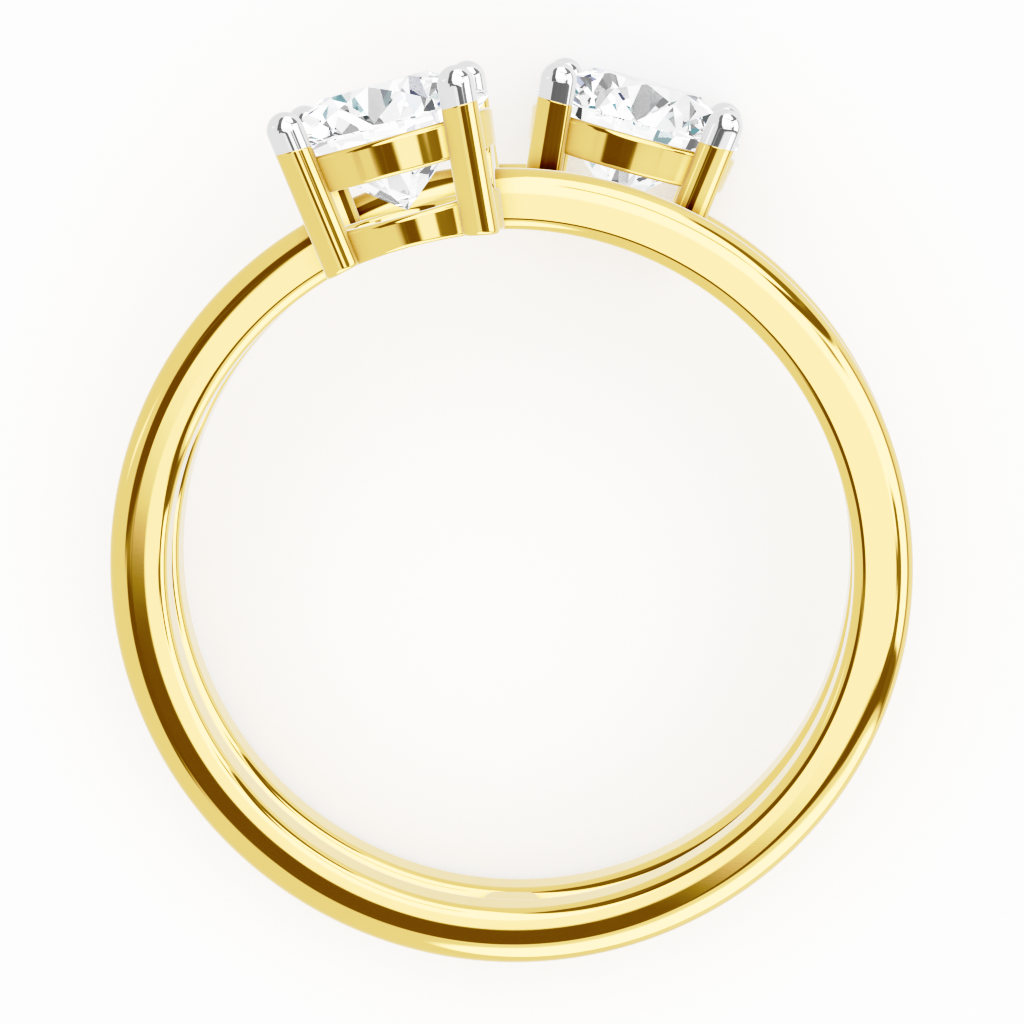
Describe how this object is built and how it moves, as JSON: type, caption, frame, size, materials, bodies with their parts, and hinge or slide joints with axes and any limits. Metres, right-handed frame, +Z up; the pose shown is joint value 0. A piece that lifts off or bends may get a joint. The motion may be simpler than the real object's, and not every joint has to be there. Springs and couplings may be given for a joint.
{
  "type": "bypass ring",
  "caption": "Finger ring of parallel hoops with a narrow gap, where round stones in flared prong baskets lean apart on opposite hoops and pass each other.",
  "frame": {"origin": "middle of the bounding box's underside, on the surface that the ring lies on", "axes": "+Z up from the surface, near the axis of the finger hole; +Y towards the stones; the head on the upper hoop is towards -X and the one on the lower hoop towards +X"},
  "size_m": [0.0194, 0.0222, 0.0079],
  "materials": {
    "yellow_gold": "polished",
    "white_gold": "polished",
    "clear_stone": "polished"
  },
  "bodies": {
    "root": {"ring_frame": "yellow_gold", "left_stone": "clear_stone", "right_stone": "clear_stone", "left_tip_1": "white_gold", "left_tip_2": "white_gold", "left_tip_3": "white_gold", "left_tip_4": "white_gold", "right_tip_1": "white_gold", "right_tip_2": "white_gold", "right_tip_3": "white_gold", "right_tip_4": "white_gold"}
  },
  "joints": []
}
